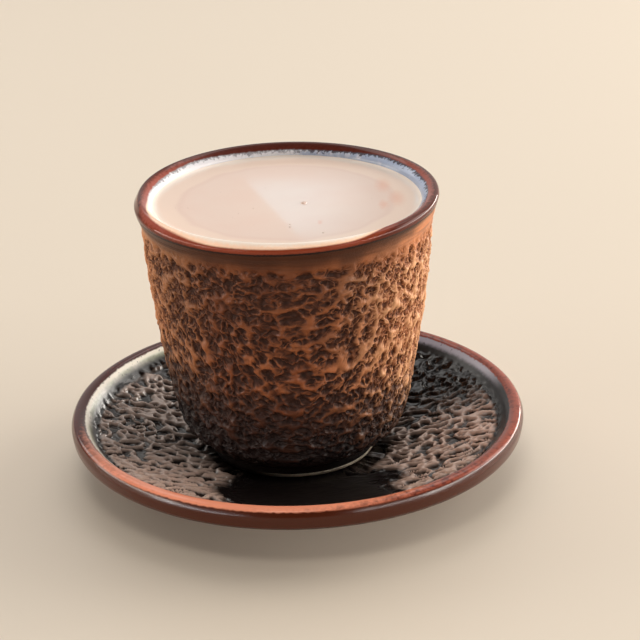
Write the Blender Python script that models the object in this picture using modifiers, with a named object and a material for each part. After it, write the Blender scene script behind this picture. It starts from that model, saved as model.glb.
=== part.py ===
"""A cup of hot chocolate on its saucer.

A handleless stoneware cup stands in the seat of a shallow saucer with a raised, rolled rim. The cup
is filled with hot chocolate to a few millimetres below its lip. All three are turned shapes. The
saucer's axis is the world Z axis and its foot stands on z = 0. The cup stands a little to one side
of that axis, as it was set down. Lengths are in metres.
"""

import bmesh
import bpy
import math

MM = 0.001

TURN_STEPS = 64
GAP = 0.3 * MM

# Saucer: the rolled rim, the well that the cup stands in, and the foot ring underneath.
SAUCER_RADIUS = 67.5 * MM
SAUCER_WIDEST_Z = 16.4 * MM
SAUCER_EDGE_RADIUS = 66.8 * MM
SAUCER_EDGE_Z = 18.4 * MM
SAUCER_CREST_RADIUS = 65.2 * MM
SAUCER_CREST_Z = 19.1 * MM
SAUCER_LIP_INNER_RADIUS = 63.4 * MM
SAUCER_LIP_INNER_Z = 18.5 * MM
SAUCER_ROLL_RADIUS = 2.7 * MM
SAUCER_ROLL_CENTRE_RADIUS = 64.6 * MM
SAUCER_ROLL_CENTRE_Z = 14.8 * MM
WELL_RADIUS = 60.6 * MM
WELL_Z = 15.4 * MM
WELL_SAG_POWER = 1.35
SEAT_RADIUS = 27.0 * MM
SEAT_Z = 6.7 * MM
SAUCER_WALL = 4.0 * MM
FOOT_RING_OUTER = 36.6 * MM
FOOT_RING_INNER = 31.4 * MM
FOOT_RING_ROUND = 0.8 * MM
FOOT_RING_SIDE = 0.6 * MM

# Cup: a tapering wall on a narrow foot, with a smooth neck band and a rounded lip.
CUP_OFFSET_X = -1.25 * MM
CUP_FOOT_Z = SEAT_Z + GAP
CUP_FOOT_RADIUS = 24.2 * MM
CUP_FOOT_ROUND = 0.5 * MM
CUP_WAIST = (24.0 * MM, 9.6 * MM)
CUP_SHOULDER = (27.4 * MM, 12.6 * MM)
CUP_TURN = (32.2 * MM, 16.9 * MM)
CUP_HIP = (34.7 * MM, 24.2 * MM)
CUP_MIDDLE = (37.9 * MM, 41.5 * MM)
CUP_BELLY = (41.0 * MM, 64.7 * MM)
CUP_NECK = (42.0 * MM, 78.0 * MM)
CUP_FLARE = (42.6 * MM, 82.4 * MM)
LIP_RADIUS = 43.95 * MM
LIP_WIDEST_Z = 86.2 * MM
LIP_TOP_Z = 87.6 * MM
LIP_CREST_RADIUS = 42.1 * MM
LIP_INNER_RADIUS = 39.4 * MM
LIP_INNER_Z = 85.8 * MM
BORE_TOP = (38.8 * MM, 84.0 * MM)
BORE_MIDDLE = (34.0 * MM, 42.0 * MM)
BORE_HEEL = (29.6 * MM, 20.5 * MM)
BORE_FLOOR_RADIUS = 18.0 * MM
BORE_FLOOR_Z = 14.2 * MM
CUP_RECESS_RADIUS = 20.4 * MM
CUP_RECESS_DEPTH = 2.2 * MM

# Hot chocolate: fills the bore up to this level.
DRINK_Z = 84.0 * MM

# Points on each rounded stretch of a profile.
SPAN_STEPS = 3
ROLL_STEPS = 5
WELL_STEPS = 7

FINISHES = {
    "saucer": {"colour": (0.035, 0.020, 0.017), "roughness": 0.16},
    "cup": {"colour": (0.150, 0.062, 0.030), "roughness": 0.30},
    "hot_chocolate": {"colour": (0.800, 0.600, 0.510), "roughness": 0.22},
}


def arc(centre, radius, start_deg, end_deg, steps):
    """Points of a circular arc in the profile plane, both ends included."""
    points = []
    for step in range(steps + 1):
        angle = math.radians(start_deg + (end_deg - start_deg) * step / steps)
        points.append((centre[0] + radius * math.cos(angle), centre[1] + radius * math.sin(angle)))
    return points


def smooth_through(stations, steps):
    """Points of a Catmull-Rom curve that passes through every station."""
    first = stations[0]
    last = stations[-1]
    before = (2 * first[0] - stations[1][0], 2 * first[1] - stations[1][1])
    after = (2 * last[0] - stations[-2][0], 2 * last[1] - stations[-2][1])
    guides = [before, *stations, after]
    points = []
    for index in range(1, len(guides) - 2):
        p0, p1, p2, p3 = guides[index - 1:index + 3]
        for step in range(steps):
            t = step / steps
            points.append(tuple(
                0.5 * (2 * b + (c - a) * t + (2 * a - 5 * b + 4 * c - d) * t * t
                       + (3 * b - a - 3 * c + d) * t * t * t)
                for a, b, c, d in zip(p0, p1, p2, p3)
            ))
    points.append(last)
    return points


def well_height(radius):
    """Height of the saucer's upper surface between its seat and the start of the rim."""
    share = (radius - SEAT_RADIUS) / (WELL_RADIUS - SEAT_RADIUS)
    return SEAT_Z + (WELL_Z - SEAT_Z) * max(share, 0.0) ** WELL_SAG_POWER


def saucer_profile():
    """Saucer outline from the middle of the seat over the rim and back under to the axis."""
    seat = [(0.0, SEAT_Z)]
    well = []
    for step in range(WELL_STEPS):
        radius = SEAT_RADIUS + (WELL_RADIUS - SEAT_RADIUS) * step / WELL_STEPS
        well.append((radius, well_height(radius)))
    rim = smooth_through([
        (WELL_RADIUS, WELL_Z),
        (SAUCER_LIP_INNER_RADIUS, SAUCER_LIP_INNER_Z),
        (SAUCER_CREST_RADIUS, SAUCER_CREST_Z),
        (SAUCER_EDGE_RADIUS, SAUCER_EDGE_Z),
        (SAUCER_RADIUS, SAUCER_WIDEST_Z),
    ], SPAN_STEPS)
    roll = arc((SAUCER_ROLL_CENTRE_RADIUS, SAUCER_ROLL_CENTRE_Z), SAUCER_ROLL_RADIUS, 0, -90, ROLL_STEPS)
    under_edge = WELL_RADIUS - SAUCER_ROLL_RADIUS
    under = []
    for step in range(WELL_STEPS - 1):
        radius = under_edge + (FOOT_RING_OUTER + SAUCER_ROLL_RADIUS - under_edge) * step / (WELL_STEPS - 2)
        under.append((radius, well_height(radius) - SAUCER_WALL))
    ring_top_z = well_height(FOOT_RING_OUTER) - SAUCER_WALL
    ring = [(FOOT_RING_OUTER + FOOT_RING_SIDE, ring_top_z)]
    ring += arc((FOOT_RING_OUTER - FOOT_RING_ROUND, FOOT_RING_ROUND), FOOT_RING_ROUND, 0, -90, SPAN_STEPS)
    ring += arc((FOOT_RING_INNER + FOOT_RING_ROUND, FOOT_RING_ROUND), FOOT_RING_ROUND, -90, -180, SPAN_STEPS)
    floor_z = SEAT_Z - SAUCER_WALL
    ring += [(FOOT_RING_INNER - FOOT_RING_SIDE, floor_z), (0.0, floor_z)]
    return seat + well + rim + roll + under + ring


def bore_curve():
    """The cup's inner wall from the heel of the bore up to the level of the drink."""
    return smooth_through([
        (BORE_FLOOR_RADIUS, BORE_FLOOR_Z),
        BORE_HEEL,
        BORE_MIDDLE,
        BORE_TOP,
    ], SPAN_STEPS)


def cup_profile():
    """Cup outline from the bore's floor up the inner wall, over the lip and down to the foot."""
    bore = [(0.0, BORE_FLOOR_Z), *bore_curve()]
    lip = smooth_through([
        BORE_TOP,
        (LIP_INNER_RADIUS, LIP_INNER_Z),
        (LIP_CREST_RADIUS, LIP_TOP_Z),
        (LIP_RADIUS, LIP_WIDEST_Z),
        CUP_FLARE,
    ], SPAN_STEPS)
    wall = smooth_through([
        CUP_FLARE,
        CUP_NECK,
        CUP_BELLY,
        CUP_MIDDLE,
        CUP_HIP,
        CUP_TURN,
        CUP_SHOULDER,
        CUP_WAIST,
    ], SPAN_STEPS)
    foot_centre = (CUP_FOOT_RADIUS - CUP_FOOT_ROUND, CUP_FOOT_Z + CUP_FOOT_ROUND)
    foot = arc(foot_centre, CUP_FOOT_ROUND, 0, -90, SPAN_STEPS)
    recess_z = CUP_FOOT_Z + CUP_RECESS_DEPTH
    recess = [
        (CUP_RECESS_RADIUS, CUP_FOOT_Z),
        (CUP_RECESS_RADIUS - CUP_FOOT_ROUND, recess_z),
        (0.0, recess_z),
    ]
    return bore + lip[1:] + wall[1:] + foot + recess


def drink_profile():
    """Hot chocolate outline: the flat surface, then down beside the bore and back to the axis."""
    side = [(radius - GAP, max(height, BORE_FLOOR_Z + GAP)) for radius, height in bore_curve()]
    return [(0.0, DRINK_Z), *reversed(side), (0.0, BORE_FLOOR_Z + GAP)]


def glaze_material(name):
    """A Principled material with the colour and roughness listed for this piece."""
    finish = FINISHES[name]
    material = bpy.data.materials.new(name)
    material.use_nodes = True
    shader = material.node_tree.nodes["Principled BSDF"]
    shader.inputs["Base Color"].default_value = (*finish["colour"], 1.0)
    shader.inputs["Roughness"].default_value = finish["roughness"]
    shader.inputs["Metallic"].default_value = 0.0
    return material


def turned_object(name, profile, collection):
    """Turn a profile about Z with a Screw modifier and give the object its own material."""
    mesh = bpy.data.meshes.new(name)
    outline = bmesh.new()
    corners = [outline.verts.new((radius, 0.0, height)) for radius, height in profile]
    for lower, upper in zip(corners, corners[1:]):
        outline.edges.new((lower, upper))
    outline.to_mesh(mesh)
    outline.free()
    mesh.materials.append(glaze_material(name))
    turned = bpy.data.objects.new(name, mesh)
    collection.objects.link(turned)
    screw = turned.modifiers.new("turn", "SCREW")
    screw.axis = "Z"
    screw.steps = TURN_STEPS
    screw.render_steps = TURN_STEPS
    screw.use_merge_vertices = True
    screw.merge_threshold = 0.01 * MM
    screw.use_smooth_shade = True
    return turned


def build():
    """Clear the scene and model the saucer, the cup and the drink in it."""
    for leftover in list(bpy.data.objects):
        bpy.data.objects.remove(leftover, do_unlink=True)
    collection = bpy.data.collections.new("hot_chocolate_with_cup_and_saucer")
    bpy.context.scene.collection.children.link(collection)

    turned_object("saucer", saucer_profile(), collection)

    stand = bpy.data.objects.new("cup_axis", None)
    stand.location = (CUP_OFFSET_X, 0.0, 0.0)
    collection.objects.link(stand)
    for name, profile in (("cup", cup_profile()), ("hot_chocolate", drink_profile())):
        turned_object(name, profile, collection).parent = stand


build()
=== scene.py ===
"""Looks of a cup of hot chocolate on its saucer.

The stoneware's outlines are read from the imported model, turned again at a fine pitch, and given their
crinkled glaze by Geometry Nodes. Lengths are in metres, except where a name or comment says mm.
"""

import logging
import math
from dataclasses import dataclass
from enum import Enum

import bpy
import numpy as np
from mathutils import Matrix, Vector


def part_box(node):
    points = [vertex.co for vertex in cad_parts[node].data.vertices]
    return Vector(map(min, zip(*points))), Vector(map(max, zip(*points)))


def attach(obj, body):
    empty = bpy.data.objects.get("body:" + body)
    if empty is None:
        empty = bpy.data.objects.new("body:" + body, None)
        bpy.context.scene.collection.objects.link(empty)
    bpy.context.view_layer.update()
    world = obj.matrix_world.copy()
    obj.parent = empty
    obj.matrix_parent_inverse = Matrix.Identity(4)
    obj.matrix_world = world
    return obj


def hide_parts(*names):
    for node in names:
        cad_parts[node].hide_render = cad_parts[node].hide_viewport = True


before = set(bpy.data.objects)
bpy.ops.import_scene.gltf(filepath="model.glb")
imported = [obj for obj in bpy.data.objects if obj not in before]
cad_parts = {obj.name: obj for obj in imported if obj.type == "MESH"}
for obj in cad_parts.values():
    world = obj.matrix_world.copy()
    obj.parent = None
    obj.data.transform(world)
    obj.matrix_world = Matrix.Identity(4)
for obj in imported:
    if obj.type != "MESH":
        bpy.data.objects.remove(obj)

LOG = logging.getLogger("hot_chocolate")
MM = 0.001
Socket = bpy.types.NodeSocket
Wire = Socket | float | tuple | str


class Slot(Enum):
    """The record's material slots."""

    SAUCER = "saucer_glaze"
    CUP = "cup_glaze"
    DRINK = "hot_chocolate"


class Crinkle(Enum):
    """The two kinds of crinkled glaze."""

    BARK = "bark"
    RIPPLE = "ripple"


def srgb(red: int, green: int, blue: int) -> tuple[float, float, float, float]:
    """Turn a colour on the usual 0 to 255 scale into the linear colour that a shader takes.

    Args:
        red: Red, 0 to 255.
        green: Green, 0 to 255.
        blue: Blue, 0 to 255.

    Returns:
        Linear red, green and blue, and an alpha of 1.
    """
    linear = []
    for channel in (red, green, blue):
        share = channel / 255
        linear.append(share / 12.92 if share <= 0.04045 else ((share + 0.055) / 1.055) ** 2.4)
    return (*linear, 1.0)


class Graph:
    """A node tree being built: each call adds one node, wires it up and returns an output."""

    def __init__(self, tree: bpy.types.NodeTree) -> None:
        """Keep the tree that the nodes go into."""
        self.tree = tree

    def add(self, kind: str, wires: dict | None = None, **settings: object) -> bpy.types.Node:
        """Add a node, with its settings, and wire or set its inputs.

        Args:
            kind: The node's type name.
            wires: Input name or number to an output to link, or a value to set.
            settings: The node's own properties.

        Returns:
            The new node.
        """
        node = self.tree.nodes.new(kind)
        for name, value in settings.items():
            setattr(node, name, value)
        for key, value in (wires or {}).items():
            socket = node.inputs[key]
            if isinstance(value, Socket):
                self.tree.links.new(value, socket)
            else:
                socket.default_value = value
        return node

    def math(self, operation: str, *values: Wire) -> Socket:
        """Return the result of a Math node on up to three values."""
        return self.add("ShaderNodeMath", dict(enumerate(values)), operation=operation).outputs[0]

    def times(self, first: Wire, second: Wire) -> Socket:
        """Return the product of two values."""
        return self.math("MULTIPLY", first, second)

    def plus(self, first: Wire, second: Wire) -> Socket:
        """Return the sum of two values."""
        return self.math("ADD", first, second)

    def minus(self, first: Wire, second: Wire) -> Socket:
        """Return the first value less the second."""
        return self.math("SUBTRACT", first, second)

    def scaled(self, value: Wire, factor: Wire, added: Wire) -> Socket:
        """Return a value times a factor, with another value added."""
        return self.math("MULTIPLY_ADD", value, factor, added)

    def larger(self, first: Wire, second: Wire) -> Socket:
        """Return the larger of two values."""
        return self.math("MAXIMUM", first, second)

    def unsigned(self, value: Wire) -> Socket:
        """Return a value without its sign."""
        return self.math("ABSOLUTE", value)

    def named_value(self, name: str) -> Socket:
        """Return what a Geometry Nodes tree reads from one of its points' attributes."""
        wires = {"Name": name}
        return self.add("GeometryNodeInputNamedAttribute", wires, data_type="FLOAT").outputs[0]

    def attribute(self, name: str, output: str = "Fac") -> Socket:
        """Return what a finish reads from one of its mesh's attributes."""
        return self.add("ShaderNodeAttribute", attribute_name=name).outputs[output]

    def vector(self, operation: str, first: Wire, second: Wire) -> Socket:
        """Return the vector result of a Vector Math node; a scale takes its factor second."""
        wires = {0: first, "Scale" if operation == "SCALE" else 1: second}
        return self.add("ShaderNodeVectorMath", wires, operation=operation).outputs[0]

    def noise(self, place: Wire, size: float, detail: float = 0.0, output: str = "Fac") -> Socket:
        """Return smooth noise, centred on 0.5, with cells of a size; Fac is one number, Color three."""
        wires = {"Vector": place, "Scale": 1 / size, "Detail": detail}
        return self.add("ShaderNodeTexNoise", wires, noise_dimensions="3D").outputs[output]

    def ease(self, value: Wire, low: Wire, high: Wire, start: Wire = 0.0, end: Wire = 1.0) -> Socket:
        """Return the value eased from start at low to end at high."""
        wires = {"Value": value, "From Min": low, "From Max": high, "To Min": start, "To Max": end}
        return self.add("ShaderNodeMapRange", wires, interpolation_type="SMOOTHSTEP").outputs[0]

    def past(self, value: Wire, edge: float, softness: float, *ends: float) -> Socket:
        """Return one end (0) before an edge and the other (1) past it, eased over a softness each side."""
        return self.ease(value, edge - softness, edge + softness, *ends)

    def mix(self, share: Wire, first: Wire, second: Wire) -> Socket:
        """Return one colour, with a second laid over it by a share."""
        return self.add("ShaderNodeMix", {0: share, 6: first, 7: second}, data_type="RGBA").outputs[2]

    def blend(self, share: Wire, first: Wire, second: Wire) -> Socket:
        """Return one number, changed towards a second by a share."""
        return self.add("ShaderNodeMix", {0: share, 2: first, 3: second}, data_type="FLOAT").outputs[0]

    def vary(self, noise: Wire, amount: Wire, value: Wire) -> Socket:
        """Return a value that a noise, centred on 0.5, moves up and down by an amount."""
        return self.scaled(self.minus(noise, 0.5), amount, value)

    def wire(self, output: Socket, socket: Socket) -> None:
        """Link an output to an input."""
        self.tree.links.new(output, socket)

    def bump(self, shader: bpy.types.Node, strength: Wire, height: Wire) -> None:
        """Give a shader a bump from a height in mm."""
        wires = {"Strength": strength, "Distance": 1.0 * MM, "Height": height}
        self.wire(self.add("ShaderNodeBump", wires).outputs[0], shader.inputs["Normal"])

    def split(self, place: Wire) -> bpy.types.bpy_prop_collection:
        """Return the three outputs of a vector taken apart."""
        return self.add("ShaderNodeSeparateXYZ", {0: place}).outputs

    def join(self, x: Wire, y: Wire, z: Wire) -> Socket:
        """Return a vector put together from three numbers."""
        return self.add("ShaderNodeCombineXYZ", {0: x, 1: y, 2: z}).outputs[0]


@dataclass(frozen=True)
class Outline:
    """A turned solid's outline: distance from the axis and height, from one end to the other."""

    radius: np.ndarray
    height: np.ndarray
    axis_x: float

    @classmethod
    def of_node(cls, name: str) -> "Outline":
        """Read a turned node's outline from its mesh, where the mesh crosses the +X half plane.

        Flat faces have no edge along that plane, so there the outline steps to the nearest point of
        the same height.

        Args:
            name: The node.

        Returns:
            The outline without its ends on the axis, from its upper end to its lower one.
        """
        low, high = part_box(name)
        axis_x = (low.x + high.x) / 2
        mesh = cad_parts[name].data
        grain = 0.01 * MM
        corners = [vertex.co for vertex in mesh.vertices]
        places = [(round((corner.x - axis_x) / grain), round(corner.z / grain)) for corner in corners]
        in_plane = [abs(corner.y) < grain and corner.x > axis_x for corner in corners]
        links: dict[tuple, set] = {place: set() for place, inside in zip(places, in_plane) if inside}
        for edge in mesh.edges:
            first, second = edge.vertices
            if in_plane[first] and in_plane[second] and places[first] != places[second]:
                links[places[first]].add(places[second])
                links[places[second]].add(places[first])
        chain = [min(links)]
        while len(chain) < len(links):
            here = chain[-1]
            ahead = [place for place in links[here] if place not in chain]
            level = [place for place in links if place not in chain and abs(place[1] - here[1]) <= 1]
            if not ahead + level:
                break
            chain.append(min(ahead or level, key=lambda place: math.dist(place, here)))
        if chain[-1][1] > chain[0][1]:
            chain.reverse()
        points = np.array(chain, float) * grain
        return cls(points[:, 0], points[:, 1], axis_x)

    def fine_rows(self, pitches: tuple[tuple[float, float], ...]) -> "Rows":
        """Turn the outline into closely spaced rows, on a smooth curve through its points.

        Args:
            pitches: Each stretch's end, as a distance along the outline from its crest, and its row pitch.

        Returns:
            The rows, with the two ends on the axis.
        """
        knots = np.concatenate([[0.0], np.cumsum(np.hypot(np.diff(self.radius), np.diff(self.height)))])
        dense = np.arange(0.0, knots[-1], 0.02 * MM)
        radius = monotone_curve(knots, self.radius, dense)
        height = monotone_curve(knots, self.height, dense)
        along = dense - dense[np.argmax(height)]
        pitch = np.full(len(dense), pitches[-1][1])
        for end, size in reversed(pitches):
            pitch[along < end] = size
        count = np.cumsum(1 / pitch) * (dense[1] - dense[0])
        places = np.interp(np.linspace(0.0, count[-1], int(count[-1]) + 2), count, dense)
        radius, height, along = (np.interp(places, dense, values) for values in (radius, height, along))
        return Rows(
            np.concatenate([[0.0], radius, [0.0]]),
            np.concatenate([height[:1], height, height[-1:]]),
            np.concatenate([along[:1], along, along[-1:]]),
            self.axis_x,
        )


def monotone_curve(knots: np.ndarray, values: np.ndarray, places: np.ndarray) -> np.ndarray:
    """Read a smooth curve through some values that never overshoots them.

    Args:
        knots: Where the values are.
        values: The values.
        places: Where to read the curve.

    Returns:
        The curve's values.
    """
    steps = np.diff(knots)
    slopes = np.diff(values) / steps
    before, after = slopes[:-1], slopes[1:]
    same_way = before * after > 0
    mean = np.zeros(len(before))
    mean[same_way] = 2 * before[same_way] * after[same_way] / (before + after)[same_way]
    tangents = np.concatenate([slopes[:1], mean, slopes[-1:]])
    index = np.clip(np.searchsorted(knots, places, side="right") - 1, 0, len(steps) - 1)
    step = steps[index]
    t = (places - knots[index]) / step
    return (
        (1 + 2 * t) * (1 - t) ** 2 * values[index]
        + t * (1 - t) ** 2 * step * tangents[index]
        + t * t * (3 - 2 * t) * values[index + 1]
        + t * t * (t - 1) * step * tangents[index + 1]
    )


def ease(values: np.ndarray, low: float, high: float) -> np.ndarray:
    """Ease values from 0 at low to 1 at high, or the other way where low is the larger."""
    share = np.clip((values - low) / (high - low), 0.0, 1.0)
    return share * share * (3 - 2 * share)


@dataclass(frozen=True)
class Rows:
    """The rows of a turned mesh: radius, height and distance along the outline from its crest."""

    radius: np.ndarray
    height: np.ndarray
    along: np.ndarray
    axis_x: float

    def mesh(self, name: str, columns: int, **row_values: np.ndarray) -> bpy.types.Mesh:
        """Turn the rows about the axis into a closed mesh whose faces point outwards.

        Args:
            name: The mesh's name.
            columns: Faces round the axis.
            row_values: Values kept on the mesh as point attributes, one for each row.

        Returns:
            The mesh, shaded smooth, with the distance from the crest in mm as its attribute "along".
        """
        turns = np.arange(columns) * (2 * math.pi / columns)
        inner = slice(1, -1)
        ring_x = self.radius[inner, None] * np.cos(turns) + self.axis_x
        ring_y = self.radius[inner, None] * np.sin(turns)
        ring_z = np.broadcast_to(self.height[inner, None], ring_x.shape)
        rings = np.stack([ring_x, ring_y, ring_z], axis=-1).reshape(-1, 3)
        ends = [[self.axis_x, 0.0, self.height[0]], [self.axis_x, 0.0, self.height[-1]]]
        points = np.concatenate([rings, ends])
        row_count = len(self.radius) - 2
        first = np.arange(row_count - 1)[:, None] * columns + np.arange(columns)
        second = np.arange(row_count - 1)[:, None] * columns + (np.arange(columns) + 1) % columns
        quads = np.stack([first, first + columns, second + columns, second], axis=-1).reshape(-1, 4)
        around = np.arange(columns)
        ahead = (around + 1) % columns
        last = (row_count - 1) * columns
        top_fan = np.stack([np.full(columns, len(rings)), around, ahead], axis=-1)
        bottom_fan = np.stack([np.full(columns, len(rings) + 1), last + ahead, last + around], axis=-1)
        mesh = bpy.data.meshes.new(name)
        mesh.from_pydata(points.tolist(), [], quads.tolist() + top_fan.tolist() + bottom_fan.tolist())
        for label, values in {"along": self.along / MM, **row_values}.items():
            attribute = mesh.attributes.new(label, "FLOAT", "POINT")
            spread = np.concatenate([np.repeat(values[inner], columns), values[:1], values[-1:]])
            attribute.data.foreach_set("value", spread.astype(np.float32))
        mesh.shade_smooth()
        return mesh


@dataclass(frozen=True)
class Reading:
    """What a glaze reads at each point of its piece.

    The place and the distance along the outline from the crest are in mm. The relief is 1 where nothing
    is cut. The three noises run from fine to broad.
    """

    place: Socket
    x: Socket
    y: Socket
    z: Socket
    along: Socket
    relief: Socket
    share: Socket
    grain: Socket
    mottle: Socket
    clouds: Socket


@dataclass(frozen=True)
class CrinkledGlaze:
    """The crinkle that the glaze took in the kiln, cut inwards from the turned surface. Sizes in mm."""

    kind: Crinkle
    depth: float
    cell: float
    warp: float
    warp_cell: float
    patch_cell: float
    patchiness: float
    cover: float
    edge: float
    lift: float = 0.0
    raggedness: float = 0.0
    rough_cell: float = 0.5
    unevenness: float = 0.0
    veins: float = 0.0
    crown: float = 0.2
    sag: float = 0.0
    stretch: float = 1.0
    stretch_swing: float = 0.0
    squeeze: tuple = (1.0, 1.0)
    squeeze_swing: float = 0.0
    lean: float = 0.0
    swing_middle: float = 0.0
    swing_length: float = 50.0

    def relief(self, graph: Graph, place: Wire, cell_size: Wire, warp: Wire) -> Socket:
        """Return the height of the crinkle, 0 in its deepest pits to about 1 on its ridges.

        Args:
            graph: The tree that the nodes go into, of a mesh or of a finish.
            place: Where it is read, in mm, on the surface as turned.
            cell_size: The width of a cell.
            warp: How far the cells are dragged about.

        Returns:
            The height.
        """
        x, y, z = graph.split(place)
        turn = 2 * math.pi / self.swing_length
        swing = graph.math("SINE", graph.times(graph.minus(z, self.swing_middle), turn))
        tall = graph.scaled(swing, self.stretch_swing / turn, graph.times(z, self.stretch))
        deep = graph.times(graph.scaled(z, -self.lean, y), self.squeeze[1])
        narrow = graph.scaled(graph.unsigned(x), self.squeeze_swing, self.squeeze[0])
        laid = graph.join(graph.times(x, narrow), deep, tall)
        drift = graph.vector("SUBTRACT", graph.noise(laid, self.warp_cell, 1.0, "Color"), (0.5, 0.5, 0.5))
        warped = graph.vector("ADD", laid, graph.vector("SCALE", drift, warp))
        cells = graph.vector("DIVIDE", warped, graph.join(cell_size, cell_size, cell_size))
        patch = graph.minus(graph.noise(place, self.patch_cell), 0.5)
        if self.kind is Crinkle.BARK:
            return self.bark(graph, cells, patch)
        return self.ripple(graph, cells, patch)

    def bark(self, graph: Graph, cells: Wire, patch: Wire) -> Socket:
        """Return the height of bark: rounded pits with a pebbly floor between winding, rounded ridges.

        Args:
            graph: The tree that the nodes go into.
            cells: The place in cells.
            patch: Broad noise, centred on 0.

        Returns:
            The height.
        """
        elsewhere = graph.vector("ADD", cells, (7.3, 2.1, 5.7))
        pits = graph.add("ShaderNodeTexVoronoi", {
            "Vector": cells,
            "Scale": 1.0,
        }, voronoi_dimensions="3D", feature="F1").outputs["Distance"]
        pits = graph.vary(graph.noise(cells, self.rough_cell, 1.0), self.raggedness, pits)
        shore = graph.scaled(patch, self.patchiness, self.cover)
        shore = graph.vary(graph.noise(elsewhere, 1.4), self.unevenness, shore)
        inland = graph.minus(pits, shore)
        ridge = graph.times(graph.past(inland, 0.0, self.edge), 0.6)
        ridge = graph.scaled(graph.ease(inland, 0.0, self.crown), 0.4, ridge)
        fold = graph.unsigned(graph.minus(graph.noise(elsewhere, 0.9), 0.5))
        vein = graph.ease(fold, 0.0, 0.11, self.veins, 0.0)
        raised = graph.math("SMOOTH_MAX", ridge, vein, 0.2)
        floor = graph.ease(graph.noise(cells, 0.4, 1.0), 0.3, 0.75, 0.0, 0.5)
        top = graph.vary(graph.noise(cells, 0.8), 0.6, 0.88)
        return graph.blend(raised, floor, top)

    def ripple(self, graph: Graph, cells: Wire, patch: Wire) -> Socket:
        """Return the height of ripples: winding, rounded ridges with narrow valleys between them.

        Args:
            graph: The tree that the nodes go into.
            cells: The place in cells.
            patch: Broad noise, centred on 0.

        Returns:
            The height.
        """
        fold = graph.unsigned(graph.minus(graph.noise(cells, 1.0, 0.4), 0.5))
        wave = graph.times(graph.ease(fold, 0.0, self.edge, 1.0, 0.0), self.cover)
        wave = graph.vary(graph.noise(cells, 0.7), self.unevenness, wave)
        return graph.scaled(patch, self.patchiness, wave)

    def read(self, graph: Graph, mottle_cell: float, clouds_cell: float, clouds_detail: float) -> Reading:
        """Read the piece in its finish, with the same crinkle as the mesh, but finer.

        Args:
            graph: The finish's graph.
            mottle_cell: Width of the middling noise's cells, in mm.
            clouds_cell: Width of the broad noise's cells, in mm.
            clouds_detail: Octaves added to the broad noise.

        Returns:
            What the finish reads, from the attributes "laid", "crinkle" and "along".
        """
        place = graph.attribute("laid", "Vector")
        share = graph.attribute("crinkle")
        relief = graph.blend(share, 1.0, self.relief(graph, place, self.cell, self.warp))
        return Reading(
            place,
            *graph.split(place),
            graph.attribute("along"),
            relief,
            share,
            graph.noise(place, 0.6, 2.0),
            graph.noise(place, mottle_cell, 2.0),
            graph.noise(place, clouds_cell, clouds_detail),
        )

    def cut(self, piece: bpy.types.Object, material: bpy.types.Material) -> None:
        """Crinkle a piece and bake the result into its mesh.

        The tree reads the attribute "crinkle", and stores "laid", each point's place in mm before the
        crinkle was cut.

        Args:
            piece: The turned piece, with its attribute "crinkle".
            material: Its finish.
        """
        sizes = {"Depth": self.depth, "Cell": self.cell, "Warp": self.warp}
        graph, given = start_tree(
            f"crinkled_glaze_{self.kind.value}",
            dict.fromkeys(sizes, "NodeSocketFloat"),
        )
        place = graph.vector("SCALE", graph.add("GeometryNodeInputPosition").outputs[0], 1 / MM)
        relief = self.relief(graph, place, given["Cell"], given["Warp"])
        mask = graph.named_value("crinkle")
        sunk = graph.times(graph.minus(relief, 1.0), mask)
        raised = graph.scaled(mask, self.lift, sunk)
        push = graph.times(graph.times(raised, given["Depth"]), MM)
        offset = graph.vector("SCALE", graph.add("GeometryNodeInputNormal").outputs[0], push)
        drop = graph.times(graph.plus(sunk, mask), -self.sag * MM)
        offset = graph.vector("ADD", offset, graph.join(0.0, 0.0, drop))
        stored = graph.add("GeometryNodeStoreNamedAttribute", {
            "Geometry": given["Geometry"],
            "Name": "laid",
            "Value": place,
        }, data_type="FLOAT_VECTOR", domain="POINT").outputs[0]
        moved = graph.add("GeometryNodeSetPosition", {"Geometry": stored, "Offset": offset}).outputs[0]
        end_tree(graph, moved, material)
        run_tree(graph.tree, piece, sizes)


def start_tree(name: str, inputs: dict[str, str]) -> tuple[Graph, bpy.types.bpy_prop_collection]:
    """Start a Geometry Nodes tree that takes a geometry and gives one.

    Args:
        name: The tree's name.
        inputs: Its other inputs, each with its type of socket.

    Returns:
        The tree's graph, and what the tree is given.
    """
    tree = bpy.data.node_groups.new(name, "GeometryNodeTree")
    for label, kind in {"Geometry": "NodeSocketGeometry", **inputs}.items():
        tree.interface.new_socket(label, in_out="INPUT", socket_type=kind)
    tree.interface.new_socket("Geometry", in_out="OUTPUT", socket_type="NodeSocketGeometry")
    graph = Graph(tree)
    return graph, graph.add("NodeGroupInput").outputs


def end_tree(graph: Graph, geometry: Socket, material: bpy.types.Material) -> None:
    """End a Geometry Nodes tree with plain, dressed geometry.

    Args:
        graph: The tree's graph.
        geometry: What the tree has made.
        material: Its finish.
    """
    solid = graph.add("GeometryNodeRealizeInstances", {0: geometry}).outputs[0]
    dressed = graph.add("GeometryNodeSetMaterial", {0: solid, "Material": material}).outputs[0]
    graph.add("NodeGroupOutput", {0: dressed})


def run_tree(tree: bpy.types.GeometryNodeTree, piece: bpy.types.Object, values: dict[str, float]) -> None:
    """Run a Geometry Nodes tree on a piece and put what it makes into the piece's mesh.

    Args:
        tree: The tree.
        piece: The piece.
        values: The tree's inputs by name.
    """
    modifier = piece.modifiers.new(tree.name, "NODES")
    modifier.node_group = tree
    for item in tree.interface.items_tree:
        if item.in_out == "INPUT" and item.name in values:
            modifier[item.identifier] = values[item.name]
    graph = bpy.context.evaluated_depsgraph_get()
    made = bpy.data.meshes.new_from_object(piece.evaluated_get(graph), depsgraph=graph)
    made.name = piece.name
    piece.modifiers.clear()
    piece.data = made


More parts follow.
